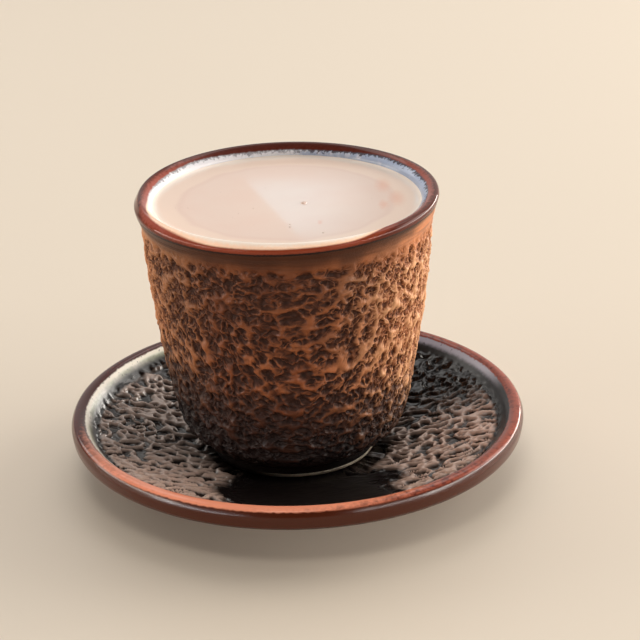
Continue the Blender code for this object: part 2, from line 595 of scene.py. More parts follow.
def add_piece(name: str, mesh: bpy.types.Mesh) -> bpy.types.Object:
    """Put a mesh into the scene as a piece at the origin.

    Args:
        name: The piece's name.
        mesh: Its mesh.

    Returns:
        The piece.
    """
    piece = bpy.data.objects.new(name, mesh)
    bpy.context.scene.collection.objects.link(piece)
    return piece


def read_points(data: bpy.types.bpy_prop_collection, name: str, width: int) -> np.ndarray:
    """Read numbers from a mesh's points or from one of its attributes.

    Args:
        data: The points, or the attribute's data.
        name: What is read of each.
        width: How many numbers each has.

    Returns:
        One row of numbers for each point.
    """
    values = np.empty((len(data), width), np.float32)
    data.foreach_get(name, values.ravel())
    return values


def settle(piece: bpy.types.Object, slot: Slot, *nodes: str) -> None:
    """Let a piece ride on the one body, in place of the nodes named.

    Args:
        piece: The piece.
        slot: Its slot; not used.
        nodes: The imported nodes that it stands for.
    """
    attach(piece, "root")
    if nodes:
        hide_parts(*nodes)
    LOG.info("%s: %d faces", piece.name, len(piece.data.polygons))


def new_material(name: str) -> tuple[bpy.types.Material, Graph, bpy.types.Node]:
    """Start a material.

    Args:
        name: The material's name.

    Returns:
        The material, its graph, and its Principled shader, already joined to the output.
    """
    material = bpy.data.materials.new(name)
    material.use_nodes = True
    return material, Graph(material.node_tree), material.node_tree.nodes["Principled BSDF"]


@dataclass(frozen=True)
class CupGlaze:
    """The cup's finish: a satin brown that breaks over the ridges, a glossy lip and a white lining, bluish
    in patches. Painted light lightens the lit sides and puts a highlight on the foot's edge; painted shade
    darkens the neck under the lip, the front left, the deepest pits, the lip's back and outer side, and the
    lining's right.

    Sizes are in mm. Those named "along" are distances along the outline from the lip's crest, negative
    on the inside. Pairs are where a change starts and ends. The last number of lining_left and of
    lining_back is how far the lining's edge moves there.
    """

    crinkle: CrinkledGlaze
    axis_x: float
    ridge: tuple = srgb(190, 112, 68)
    ridge_warm: tuple = srgb(146, 80, 47)
    # Painted light: lighter, more orange ridges on the left and lighter tan ridges on the right.
    left_lit_orange: tuple = srgb(200, 132, 84)
    right_lit_tan: tuple = srgb(203, 148, 106)
    # Pits and hollows, each with a paler copy that is painted light on the lit sides; the darkest pits hold
    # painted shade.
    pit: tuple = srgb(16, 7, 5)
    pit_lit: tuple = srgb(84, 44, 25)
    hollow: tuple = srgb(74, 37, 21)
    hollow_lit: tuple = srgb(150, 90, 56)
    black: tuple = srgb(9, 6, 7)
    plum: tuple = srgb(44, 25, 19)
    # Brown of the neck's streaks, also used for the painted shade.
    streak_and_shade: tuple = srgb(60, 31, 17)
    lip: tuple = srgb(126, 52, 28)
    # Painted shade on the lip's back and outer side.
    lip_shade: tuple = srgb(72, 26, 15)
    # Pink of the lip's mottling, also its painted sheen at the sides.
    lip_pink: tuple = srgb(148, 78, 66)
    peach: tuple = srgb(255, 212, 180)
    cream: tuple = srgb(250, 234, 220)
    lining: tuple = srgb(216, 214, 218)
    # Painted shade on the lining's right.
    lining_shade: tuple = srgb(160, 170, 192)
    speck: tuple = srgb(58, 46, 50)
    # Foot clay, brightened as a painted highlight.
    clay_and_highlight: tuple = srgb(255, 240, 215)
    # The next four place the painted light on the lit sides.
    left_lit_x: tuple = (-20.0, -36.0)
    right_lit_x: tuple = (2.0, 34.0)
    right_lit_z: tuple = (73.0, 79.0)
    side_lit_x: tuple = (8.0, 34.0)
    plum_z: tuple = (28.0, 52.0)
    black_z: tuple = (17.0, 30.0)
    # The next two place painted shade on the front left and under the lip.
    front_left_shade_along: tuple = (60.0, 20.0)
    lip_shade_along: tuple = (4.0, 9.0)
    lip_along: float = 3.4
    seam_along: float = 3.65
    calm_y: tuple = (-24.0, 8.0)
    lining_along: tuple = (-1.5, 1.8)
    lining_front: tuple = (14.0, 36.0)
    lining_left: tuple = (-20.0, -40.0, 0.0, -1.1)
    lining_back: tuple = (27.0, 40.0, 0.0, -1.5)
    # The next two place painted shade at the lip's back and painted sheen at its sides.
    lip_shade_y: tuple = (8.0, 36.0)
    lip_sheen_x: tuple = (22.0, 40.0)
    rosy_front: tuple = (8.0, 26.0)
    clay_z: tuple = (8.1, 8.18)
    # Where the foot's clay shows on the right, as a painted highlight.
    clay_highlight_x: tuple = (-14.0, 4.0)

    def material(self) -> bpy.types.Material:
        """Build the cup's material.

        Returns:
            The material. It reads the attributes "laid", "crinkle" and "along".
        """
        material, graph, shader = new_material("cup_glaze")
        here = self.crinkle.read(graph, 1.0, 9.0, 2.0)
        ragged = graph.vary(here.mottle, graph.ease(here.y, *self.calm_y, 0.12, 0.8), here.along)
        around = graph.join(graph.times(here.x, 0.06), graph.times(here.y, 0.06), here.z)
        streaks = graph.times(graph.noise(around, 0.8, 2.0), graph.minus(1.0, here.share))
        colour = self.painted_shade(graph, here, ragged, self.body(graph, here, streaks))
        on_lip = graph.past(ragged, self.lip_along, 0.12, 1.0, 0.0)
        inside = graph.minus(ragged, self.lining_edge(graph, here))
        in_lining = graph.past(inside, 0.0, 0.3, 1.0, 0.0)
        colour = graph.mix(on_lip, colour, self.lip_colour(graph, here, inside))
        seam = graph.unsigned(graph.minus(graph.vary(here.grain, 0.7, ragged), self.seam_along))
        colour = graph.mix(graph.ease(seam, 0.15, 0.4, 0.85, 0.0), colour, self.black)
        colour = graph.mix(in_lining, colour, self.lining_colour(graph, here, inside))
        # Pale clay at the foot's lower edge, shown only on the right: unglazed clay with a painted
        # highlight.
        low = graph.ease(graph.vary(here.grain, 0.15, here.z), *self.clay_z, 1.0, 0.0)
        colour = graph.mix(graph.times(low, graph.ease(here.x, *self.clay_highlight_x)), colour, self.clay_and_highlight)
        graph.wire(colour, shader.inputs["Base Color"])
        shader.inputs["IOR"].default_value = 1.4
        shader.inputs["Specular IOR Level"].default_value = 0.28
        satin = graph.blend(graph.ease(here.relief, 0.3, 0.85), 0.65, 0.42)
        glossy = graph.larger(on_lip, in_lining)
        graph.wire(graph.blend(glossy, satin, 0.07), shader.inputs["Roughness"])
        fine = graph.scaled(streaks, 0.3, graph.scaled(here.grain, 0.12, here.relief))
        graph.bump(shader, graph.blend(glossy, 0.8, 0.02), fine)
        return material

    def body(self, graph: Graph, here: Reading, streaks: Wire) -> Socket:
        """Return the body's colour: brown on the ridges, dark in the pits, black towards the foot, with
        painted light on the lit left and right sides and painted shade in the deepest pits.

        Args:
            graph: The finish's graph.
            here: What the finish reads.
            streaks: Noise drawn out round the neck.

        Returns:
            The colour.
        """
        ridge = graph.mix(graph.ease(here.clouds, 0.35, 0.65), self.ridge, self.ridge_warm)
        # Lighter, more orange ridges on the left: painted light from the left side.
        ridge = graph.mix(graph.ease(here.x, *self.left_lit_x), ridge, self.left_lit_orange)
        # Lighter tan ridges on the right, less so just under the neck: painted light from the right side.
        right_lit = graph.ease(graph.vary(here.clouds, 20.0, here.x), *self.right_lit_x)
        right_lit = graph.times(right_lit, graph.ease(here.z, *self.right_lit_z, 1.0, 0.3))
        ridge = graph.mix(right_lit, ridge, self.right_lit_tan)
        ridge = graph.mix(graph.ease(streaks, 0.4, 0.7, 0.0, 0.5), ridge, self.streak_and_shade)
        # Paler pits on the right and, less, on the left: painted light on the lit sides.
        aside = graph.larger(here.x, graph.times(here.x, -0.55))
        pale = graph.ease(graph.vary(here.clouds, 30.0, aside), *self.side_lit_x)
        pit = graph.mix(pale, self.pit, self.pit_lit)
        hollow = graph.mix(pale, self.hollow, self.hollow_lit)
        # Darkest in the deepest pits: partly the pits' dark glaze, partly painted shade.
        pit = graph.mix(graph.ease(here.relief, 0.1, 0.5), pit, hollow)
        colour = graph.mix(graph.ease(graph.vary(here.grain, 0.2, here.relief), 0.4, 0.85), pit, ridge)
        sag = graph.scaled(here.x, 0.2, graph.minus(here.z, 2.0))
        sag = graph.vary(here.relief, 17.0, graph.vary(here.clouds, 12.0, sag))
        colour = graph.mix(graph.ease(sag, *self.plum_z, 0.95, 0.0), colour, self.plum)
        return graph.mix(graph.ease(sag, *self.black_z), self.black, colour)

    def painted_shade(self, graph: Graph, here: Reading, ragged: Wire, colour: Wire) -> Socket:
        """Paint shade on the neck under the lip, and on the body below it, most on the front left.

        Args:
            graph: The finish's graph.
            here: What the finish reads.
            ragged: Distance along the outline, with a ragged edge.
            colour: The body's colour.

        Returns:
            The colour.
        """
        across = graph.times(graph.minus(here.x, self.axis_x), -0.3)
        front_left = graph.scaled(here.y, -0.85, across)
        # Painted shade on the neck just under the lip, reaching further down on the front left.
        end = graph.vary(here.clouds, 3.0, graph.ease(front_left, -6.0, 36.0, *self.lip_shade_along))
        past = graph.ease(ragged, graph.minus(end, 3.0), graph.plus(end, 2.5), 0.1)
        # Painted shade over the body on the front left.
        front_left_shade = graph.ease(ragged, *self.front_left_shade_along, 0.3, 0.68)
        colour = graph.mix(graph.times(graph.ease(front_left, 8.0, 36.0), front_left_shade), colour, self.streak_and_shade)
        return graph.mix(past, self.streak_and_shade, colour)

    def lining_edge(self, graph: Graph, here: Reading) -> Socket:
        """Return where the lining starts: inside the lip, deeper at the back and the left, and out over
        the lip's crest in front.

        Args:
            graph: The finish's graph.
            here: What the finish reads.

        Returns:
            The distance along the outline from the lip's crest, in mm.
        """
        front = graph.minus(graph.times(here.x, -0.35), here.y)
        edge = graph.ease(front, *self.lining_front, *self.lining_along)
        edge = graph.plus(edge, graph.ease(here.x, *self.lining_left))
        return graph.plus(edge, graph.ease(here.y, *self.lining_back))

    def lip_colour(self, graph: Graph, here: Reading, inside: Wire) -> Socket:
        """Return the lip's colour: red brown in front; pink at the sides, partly mottled glaze and partly
        painted sheen; painted shade at the back and on its outer side.

        Args:
            graph: The finish's graph.
            here: What the finish reads.
            inside: Distance outwards from where the lining starts.

        Returns:
            The colour.
        """
        # Painted shade on the lip at the back and on its outer side.
        lip = graph.mix(graph.ease(here.y, *self.lip_shade_y), self.lip, self.lip_shade)
        lip = graph.mix(graph.ease(inside, 0.8, 2.2, 0.0, 0.85), lip, self.lip_shade)
        # Pink on the inner part of the lip at the sides: partly mottled glaze, partly painted sheen.
        aside = graph.ease(graph.unsigned(here.x), *self.lip_sheen_x, 0.1, 0.9)
        pink = graph.times(graph.ease(graph.vary(here.mottle, 3.0, inside), 2.2, 0.4), aside)
        return graph.mix(pink, lip, self.lip_pink)

    def lining_colour(self, graph: Graph, here: Reading, inside: Wire) -> Socket:
        """Return the lining's colour: white, bluish in patches and bluish grey in painted shade towards the
        right, darkly edged at the back, peach on the front lip.

        Args:
            graph: The finish's graph.
            here: What the finish reads.
            inside: Distance outwards from where the lining starts.

        Returns:
            The colour.
        """
        # Bluish grey towards the right: painted shade, with random patches of the bluish tint.
        bluish = graph.scaled(here.x, 0.012, graph.noise(here.place, 2.2, 2.0))
        lining = graph.mix(graph.ease(bluish, 0.4, 0.8), self.lining, self.lining_shade)
        edged = graph.ease(graph.scaled(here.y, 0.4, here.x), 0.0, 26.0, 0.0, 0.9)
        edged = graph.larger(edged, graph.ease(here.y, 2.0, 14.0, 0.1, 0.6))
        edge = graph.ease(graph.vary(here.mottle, 3.2, inside), -1.1, -0.3)
        lining = graph.mix(graph.times(edge, edged), lining, self.speck)
        rosy = graph.ease(graph.scaled(here.x, -0.3, graph.times(here.y, -1.0)), *self.rosy_front)
        peachy = graph.ease(graph.vary(here.mottle, 0.8, inside), -1.4, -0.1)
        return graph.mix(rosy, lining, graph.mix(peachy, self.cream, self.peach))


@dataclass(frozen=True)
class SaucerGlaze:
    """The saucer's finish: brown ridges on black in the well, partly painted sheen, with painted reflection
    and shadow, a milky slope with painted shade on its right, a maroon to orange rim.

    Sizes are in mm. Those named "along" are distances along the outline from the rim's crest, negative
    on the inside. Pairs are where a change, or the rim, starts and ends.
    """

    crinkle: CrinkledGlaze
    black: tuple = srgb(24, 18, 17)
    # Brown of the ridges, partly painted sheen; the rosy colour is its painted warm reflection in front.
    brown: tuple = srgb(156, 138, 128)
    rosy: tuple = srgb(204, 174, 158)
    milk: tuple = srgb(248, 240, 224)
    milk_green: tuple = srgb(202, 205, 178)
    # Painted shade on the slope's right.
    milk_shade: tuple = srgb(170, 168, 182)
    maroon: tuple = srgb(66, 14, 6)
    red: tuple = srgb(140, 66, 46)
    orange: tuple = srgb(250, 158, 124)
    wall: tuple = srgb(68, 27, 11)
    # The next three place painted reflection and shadow in the well.
    rosy_reflection_y: tuple = (12.0, -30.0)
    dark_reflection_back: tuple = (0.0, 26.0)
    cup_shadow_along: tuple = (-41.5, -38.5)
    slope_along: tuple = (-5.7, -2.3)
    # The next two place painted shade on the slope's right.
    milk_fade_right: tuple = (-12.0, 34.0)
    milk_shade_right: tuple = (-30.0, 10.0)
    green_along: tuple = (-2.6, -4.2)
    back_along: tuple = (-4.8, -3.0)
    back_y: tuple = (8.0, 26.0)
    rim_along: tuple = (-2.0, 1.9)
    worn_front: tuple = (26.0, 54.0)

    def material(self) -> bpy.types.Material:
        """Build the saucer's material.

        Returns:
            The material. It reads the attributes "laid", "crinkle" and "along".
        """
        material, graph, shader = new_material("saucer_glaze")
        here = self.crinkle.read(graph, 1.3, 8.0, 1.0)
        ragged = graph.vary(here.mottle, 0.8, here.along)
        past_slope, past_rim = (graph.past(ragged, edge, 0.3) for edge in self.rim_along)
        colour = self.slope(graph, here, ragged, self.well(graph, here))
        colour = graph.mix(past_slope, colour, self.rim(graph, here))
        colour = graph.mix(past_rim, colour, self.wall)
        graph.wire(colour, shader.inputs["Base Color"])
        satin = graph.blend(past_slope, graph.blend(here.share, 0.3, 0.19), 0.14)
        graph.wire(graph.blend(past_rim, satin, 0.22), shader.inputs["Roughness"])
        shader.inputs["IOR"].default_value = 1.45
        shader.inputs["Specular IOR Level"].default_value = 0.38
        graph.bump(shader, 0.7, graph.scaled(here.grain, 0.02, graph.times(here.relief, 0.25)))
        return material

    def well(self, graph: Graph, here: Reading) -> Socket:
        """Return the well's colour: brown ridges, partly painted sheen, rosier in front with painted warm
        reflection, on black; all black at the back right, a painted dark reflection, and round the cup's
        foot and where the glaze ran smooth in front of it, painted shadow and reflection of the cup.

        Args:
            graph: The finish's graph.
            here: What the finish reads.

        Returns:
            The colour.
        """
        # Rosier ridges in front: painted warm reflection.
        rosy = graph.ease(graph.scaled(here.x, -0.3, here.y), *self.rosy_reflection_y)
        brown = graph.mix(rosy, self.brown, self.rosy)
        # Black at the back right: painted dark reflection.
        back_right = graph.math("MINIMUM", here.x, here.y)
        brown = graph.mix(graph.ease(back_right, *self.dark_reflection_back), brown, self.black)
        # Brown on the ridge tops, black in the valleys: partly the glaze, partly painted sheen and shade.
        well = graph.mix(graph.ease(here.relief, -0.1, 0.82), self.black, brown)
        # Black round the cup's foot and where the crinkle was taken away in front of it: painted shadow and
        # reflection of the cup.
        smooth = graph.ease(here.share, 0.5, 0.97, 1.0, 0.0)
        smooth = graph.larger(smooth, graph.ease(here.along, *self.cup_shadow_along, 1.0, 0.0))
        return graph.mix(smooth, well, self.black)

    def slope(self, graph: Graph, here: Reading, ragged: Wire, well: Wire) -> Socket:
        """Return the colour up to the rim: milky on the slope at the left and the back, greenish in
        places, with dark flecks; towards the right the milk turns bluish and fades out, in painted shade.

        Args:
            graph: The finish's graph.
            here: What the finish reads.
            ragged: Distance along the outline, with a ragged edge.
            well: The well's colour.

        Returns:
            The colour.
        """
        greenish = graph.ease(here.along, *self.green_along)
        greenish = graph.times(graph.ease(here.clouds, 0.35, 0.6), greenish)
        milk = graph.mix(greenish, self.milk, self.milk_green)
        to_right = graph.scaled(here.x, 0.9, graph.times(here.y, -0.3))
        # Bluish milk towards the right: painted shade.
        milk = graph.mix(graph.ease(to_right, *self.milk_shade_right), milk, self.milk_shade)
        fleck = graph.ease(graph.noise(here.place, 1.6, 1.0), 0.68, 0.76, 0.0, 0.6)
        milk = graph.mix(fleck, milk, self.black)
        milky = graph.ease(ragged, *self.slope_along)
        # The milk fades out towards the right: painted shade.
        milky = graph.times(milky, graph.ease(to_right, *self.milk_fade_right, 1.0, 0.01))
        behind = graph.times(graph.ease(ragged, *self.back_along), graph.ease(here.y, *self.back_y))
        return graph.mix(graph.larger(milky, behind), well, milk)

    def rim(self, graph: Graph, here: Reading) -> Socket:
        """Return the rim's colour: mottled maroon and red, worn to orange along its crest in front.

        Args:
            graph: The finish's graph.
            here: What the finish reads.

        Returns:
            The colour.
        """
        front = graph.scaled(here.x, -0.35, graph.times(here.y, -0.9))
        front = graph.scaled(graph.unsigned(graph.plus(here.along, 0.9)), -5.0, front)
        worn = graph.ease(graph.vary(here.mottle, 18.0, front), *self.worn_front, 0.0, 0.9)
        reddened = graph.ease(graph.scaled(here.x, 0.004, here.mottle), 0.35, 0.8)
        return graph.mix(worn, graph.mix(reddened, self.maroon, self.red), self.orange)


@dataclass(frozen=True)
class DrinkFinish:
    """The hot chocolate's finish: an opaque milky beige, creamier by the wall, with a wet surface.

    Sizes are in mm. Those named "along" are distances from the wall, negative.
    """

    milk: tuple = srgb(233, 205, 190)
    ring: tuple = srgb(229, 199, 184)
    shallow: tuple = srgb(238, 212, 194)
    cream: tuple = srgb(236, 221, 208)
    foam: tuple = srgb(232, 174, 148)
    roughness: float = 0.03
    level: float = 84.0
    shallow_along: tuple = (-10.0, -6.0)
    ring_along: float = -8.5
    cream_along: tuple = (-3.0, -0.4)
    foam_shape: tuple = (1.3, 0.5, 1.0)
    foam_spots: tuple = ((30.5, 0.0, 3.2), (26.5, -5.0, 2.0), (27.0, 11.0, 3.0), (8.0, -17.6, 0.9))

    def material(self) -> bpy.types.Material:
        """Build the drink's material.

        Returns:
            The material. It reads the attribute "along", the distance in from the wall.
        """
        material, graph, shader = new_material("hot_chocolate")
        place = graph.vector("SCALE", graph.add("ShaderNodeTexCoord").outputs["Object"], 1 / MM)
        clouds = graph.noise(place, 14.0, 2.0)
        drifted = graph.vary(clouds, 4.0, graph.attribute("along"))
        ring = graph.ease(graph.unsigned(graph.minus(drifted, self.ring_along)), 0.0, 1.6, 0.6, 0.0)
        colour = graph.mix(graph.ease(clouds, 0.3, 0.7, 0.0, 0.2), self.milk, self.cream)
        colour = graph.mix(graph.ease(drifted, *self.shallow_along), colour, self.shallow)
        colour = graph.mix(ring, colour, self.ring)
        colour = graph.mix(graph.ease(drifted, *self.cream_along), colour, self.cream)
        ragged = graph.noise(place, 1.2, 1.0)
        for x, y, radius in self.foam_spots:
            away = graph.vector("SUBTRACT", place, (x, y, self.level))
            away = graph.vector("MULTIPLY", away, self.foam_shape)
            gap = graph.add("ShaderNodeVectorMath", {0: away}, operation="LENGTH").outputs["Value"]
            gap = graph.vary(ragged, 1.6, gap)
            colour = graph.mix(graph.ease(gap, 0.0, radius * 1.4, 0.55, 0.0), colour, self.foam)
        graph.wire(colour, shader.inputs["Base Color"])
        shader.inputs["Roughness"].default_value = self.roughness
        shader.inputs["IOR"].default_value = 1.36
        return material


@dataclass(frozen=True)
class Cup:
    """The stoneware cup, with its sizes in metres."""

    columns: int = 500
    pitches: tuple = (
        (-8 * MM, 8 * MM),
        (3.6 * MM, 0.35 * MM),
        (8 * MM, 0.8 * MM),
        (80 * MM, 0.6 * MM),
        (86 * MM, 0.4 * MM),
        (100 * MM, 3 * MM),
    )
    crinkle_top: tuple = (80.6 * MM, 77.0 * MM)
    crinkle_foot: tuple = (11.5 * MM, 14.0 * MM)
    neck_ring: tuple = (81.9 * MM, 0.7 * MM, 0.28 * MM)
    lip_drop: float = 0.5 * MM
    lip_lean: float = 0.02
    lip_drop_rise: tuple = (0.2, 1.8)
    lip_drop_fall: tuple = (9.0, 4.6)
    crinkle: CrinkledGlaze = CrinkledGlaze(
        Crinkle.BARK, depth=1.4, cell=3.3, warp=2.4, warp_cell=4.0, patch_cell=11.0, patchiness=0.12,
        cover=0.53, edge=0.19, lift=0.25, raggedness=0.4, unevenness=0.3, veins=0.7, crown=0.4, sag=0.3,
        stretch=1.1, stretch_swing=0.3, squeeze=(0.66, 1.4), squeeze_swing=0.0115, lean=0.3,
        swing_middle=72.0, swing_length=52.0,
    )

    def build(self) -> bpy.types.Object:
        """Turn the cup, crinkle it and glaze it.

        Returns:
            The piece.
        """
        rows = Outline.of_node("cup").fine_rows(self.pitches)
        middle, width, height = self.neck_ring
        ring = height * np.exp(-((rows.height - middle) / width) ** 2) * (rows.along > 0)
        rows = Rows(rows.radius + ring, rows.height, rows.along, rows.axis_x)
        mask = ease(rows.height, *self.crinkle_top) * ease(rows.height, *self.crinkle_foot)
        mask *= ease(rows.along, 0.0, 1.0 * MM)
        piece = add_piece("cup_stoneware", rows.mesh("cup_stoneware", self.columns, crinkle=mask))
        self.let_lip_hang(piece.data, rows.axis_x)
        self.crinkle.cut(piece, CupGlaze(self.crinkle, rows.axis_x / MM).material())
        settle(piece, Slot.CUP, "cup")
        return piece

    def let_lip_hang(self, mesh: bpy.types.Mesh, axis_x: float) -> None:
        """Let the lip's outer bead hang a little, most on the left, as the hand-made lip does.

        Args:
            mesh: The cup's mesh, with its attribute "along".
            axis_x: Where the cup's axis stands.
        """
        places = read_points(mesh.vertices, "co", 3)
        along = read_points(mesh.attributes["along"].data, "value", 1)[:, 0]
        share = ease(along, *self.lip_drop_rise) * ease(along, *self.lip_drop_fall)
        places[:, 2] -= share * (self.lip_drop - self.lip_lean * (places[:, 0] - axis_x))
        mesh.vertices.foreach_set("co", places.ravel())


@dataclass(frozen=True)
class Saucer:
    """The stoneware saucer, with its sizes in metres."""

    columns: int = 690
    pitches: tuple = (
        (-43 * MM, 4 * MM),
        (-6 * MM, 0.46 * MM),
        (4 * MM, 0.35 * MM),
        (10 * MM, 0.6 * MM),
        (100 * MM, 4 * MM),
    )
    crinkle_start: tuple = (24.4 * MM, 26.6 * MM)
    crinkle_end: tuple = (61.4 * MM, 58.0 * MM)
    smooth_middle: float = 3 * MM
    smooth_side: tuple = (31 * MM, 17 * MM)
    smooth_front: tuple = (-16 * MM, -26 * MM)
    smooth_share: float = 0.96
    wander: float = 2 * MM
    wander_pitch: tuple = (5 * MM, 3.6 * MM)
    crinkle: CrinkledGlaze = CrinkledGlaze(
        Crinkle.RIPPLE, depth=1.2, cell=3.3, warp=2.2, warp_cell=3.4, patch_cell=9.0, patchiness=0.2,
        cover=1.0, edge=0.14, unevenness=0.4, squeeze=(0.75, 1.05),
    )

    def build(self) -> bpy.types.Object:
        """Turn the saucer, crinkle its well and glaze it.

        Returns:
            The piece.
        """
        rows = Outline.of_node("saucer").fine_rows(self.pitches)
        mask = ease(rows.radius, *self.crinkle_start) * ease(rows.radius, *self.crinkle_end)
        mask *= ease(rows.along, 0.0, -1.0 * MM)
        piece = add_piece("saucer_stoneware", rows.mesh("saucer_stoneware", self.columns, crinkle=mask))
        self.leave_front_smooth(piece.data)
        self.crinkle.cut(piece, SaucerGlaze(self.crinkle).material())
        settle(piece, Slot.SAUCER, "saucer")
        return piece

    def leave_front_smooth(self, mesh: bpy.types.Mesh) -> None:
        """Take most of the crinkle away in front of the cup's foot, where the glaze ran smooth; the finish
        paints that stretch black, as painted shadow and reflection of the cup.

        Args:
            mesh: The saucer's mesh, with its attribute "crinkle".
        """
        x, y, _ = read_points(mesh.vertices, "co", 3).T
        values = mesh.attributes["crinkle"].data
        crinkle = read_points(values, "value", 1)[:, 0]
        wander = self.wander * np.sin(y / self.wander_pitch[1] + x / self.wander_pitch[0])
        smooth = ease(np.abs(x - self.smooth_middle) + wander, *self.smooth_side)
        smooth *= ease(y, *self.smooth_front)
        values.foreach_set("value", crinkle * (1 - self.smooth_share * smooth))


@dataclass(frozen=True)
class Bubbles:
    """The few small bubbles on the drink. Sizes and places in mm."""

    seen: tuple = (
        (3.7, -1.9, 0.85),
        (-0.5, -18.7, 0.3),
        (-0.5, -20.8, 0.34),
        (8.7, -26.0, 0.32),
        (-20.5, 9.0, 0.2),
    )
    count: int = 14
    seed: int = 5
    reach: float = 35.0
    smallest: float = 0.08
    largest: float = 0.2
    flatness: float = 0.5
    milk: tuple = srgb(222, 194, 180)
    shade: tuple = srgb(222, 196, 182)

    def build(self, level: float, axis_x: float) -> bpy.types.Object:
        """Set the bubbles on the drink.

        Args:
            level: Height of the surface, in metres.
            axis_x: Where the drink's axis stands, in metres.

        Returns:
            The piece.
        """
        mesh = bpy.data.meshes.new("surface_bubbles")
        mesh.from_pydata([(x * MM, y * MM, level) for x, y, _ in self.seen], [], [])
        sizes = mesh.attributes.new("size", "FLOAT", "POINT")
        sizes.data.foreach_set("value", [size * MM for _, _, size in self.seen])
        piece = add_piece("surface_bubbles", mesh)
        run_tree(self.tree(level, axis_x), piece, {"Count": self.count, "Seed": self.seed})
        settle(piece, Slot.DRINK)
        return piece

    def tree(self, level: float, axis_x: float) -> bpy.types.GeometryNodeTree:
        """Build the Geometry Nodes tree: the bubbles seen and some finer ones, each a flattened dome.

        Args:
            level: Height of the surface, in metres.
            axis_x: Where the drink's axis stands, in metres.

        Returns:
            The tree.
        """
        kind = "NodeSocketInt"
        graph, given = start_tree("surface_bubbles", {"Count": kind, "Seed": kind})
        limits = ((0.0, 2 * math.pi), (0.0, 1.0), (self.smallest * MM, self.largest * MM))
        chance = []
        for shift, (low, high) in enumerate(limits):
            wires = {2: low, 3: high, "Seed": graph.plus(given["Seed"], float(shift))}
            chance.append(graph.add("FunctionNodeRandomValue", wires, data_type="FLOAT").outputs[1])
        away = graph.times(graph.math("SQRT", chance[1]), self.reach * MM)
        x = graph.scaled(graph.math("COSINE", chance[0]), away, axis_x)
        place = graph.join(x, graph.times(graph.math("SINE", chance[0]), away), level)
        loose = graph.add("GeometryNodePoints", {"Count": given["Count"], "Position": place})
        loose = graph.add("GeometryNodeStoreNamedAttribute", {
            "Geometry": loose.outputs[0],
            "Name": "size",
            "Value": chance[2],
        }, data_type="FLOAT", domain="POINT").outputs[0]
        seen = graph.add("GeometryNodeMeshToPoints", {0: given["Geometry"]}).outputs[0]
        joined = graph.add("GeometryNodeJoinGeometry")
        graph.wire(loose, joined.inputs[0])
        graph.wire(seen, joined.inputs[0])
        size = graph.named_value("size")
        dome = graph.add("GeometryNodeMeshUVSphere", {"Segments": 20, "Rings": 12, "Radius": 1.0})
        dome = graph.add("GeometryNodeSetShadeSmooth", {0: dome.outputs[0]}).outputs[0]
        scale = graph.join(size, size, graph.times(size, self.flatness))
        domes = graph.add("GeometryNodeInstanceOnPoints", {
            "Points": joined.outputs[0],
            "Instance": dome,
            "Scale": scale,
        }).outputs[0]
        end_tree(graph, domes, self.material())
        return graph.tree

    def material(self) -> bpy.types.Material:
        """Build the bubbles' material: a wet milky skin, a little darker where it faces the viewer.

        Returns:
            The material.
        """
        material, graph, shader = new_material("bubble_skin")
        facing = graph.add("ShaderNodeLayerWeight", {"Blend": 0.5}).outputs["Facing"]
        colour = graph.mix(graph.ease(facing, 0.25, 0.75), self.shade, self.milk)
        graph.wire(colour, shader.inputs["Base Color"])
        shader.inputs["Roughness"].default_value = 0.05
        shader.inputs["IOR"].default_value = 1.36
        return material


@dataclass(frozen=True)
class Drink:
    """The hot chocolate in the cup, with its sizes in metres."""

    columns: int = 256
    climb: float = 0.5 * MM
    climb_reach: float = 1.3 * MM
    wall_gap: float = 0.3 * MM
    wall_overlap: float = 0.1 * MM
    ring_pitch: float = 1.2 * MM
    fine_reach: float = 3 * MM
    fine_pitch: float = 0.15 * MM
    finish: DrinkFinish = DrinkFinish()
    bubbles: Bubbles = Bubbles()

    def build(self) -> bpy.types.Object:
        """Make the surface, which climbs a little up the wall, over the hidden body of the drink.

        Returns:
            The piece.
        """
        hidden = Outline.of_node("hot_chocolate")
        edge = hidden.radius[0] + self.wall_gap + self.wall_overlap
        level = hidden.height[0]
        reach = np.concatenate([
            np.arange(self.ring_pitch, edge - self.fine_reach, self.ring_pitch),
            np.arange(edge - self.fine_reach, edge, self.fine_pitch),
            [edge],
        ])
        rise = self.climb * np.exp(-(edge - reach) / (self.climb_reach / 2.5))
        radius = np.concatenate([[0.0], reach, hidden.radius[1:], [0.0]])
        height = np.concatenate([[level], level + rise, hidden.height[1:], hidden.height[-1:]])
        rows = Rows(radius, height, radius - edge, hidden.axis_x)
        piece = add_piece("hot_chocolate_drink", rows.mesh("hot_chocolate_drink", self.columns))
        piece.data.materials.append(self.finish.material())
        settle(piece, Slot.DRINK, "hot_chocolate")
        self.bubbles.build(level, hidden.axis_x)
        return piece


@dataclass(frozen=True)
class SoftLight:
    """One rectangular studio light that faces a point near the cup."""

    name: str
    place: tuple
    size: tuple
    power: float
    colour: tuple = (1.0, 1.0, 1.0)
    target: tuple = (0.0, 0.0, 0.05)

    def build(self) -> None:
        """Hang the light, with its width level."""
        data = bpy.data.lights.new(self.name, "AREA")
        data.shape = "RECTANGLE"
        data.size, data.size_y = self.size
        data.energy = self.power
        data.color = self.colour
        light = bpy.data.objects.new(self.name, data)
        turn = (Vector(self.target) - Vector(self.place)).to_track_quat("-Z", "Y")
        light.matrix_world = Matrix.Translation(self.place) @ turn.to_matrix().to_4x4()
        bpy.context.scene.collection.objects.link(light)


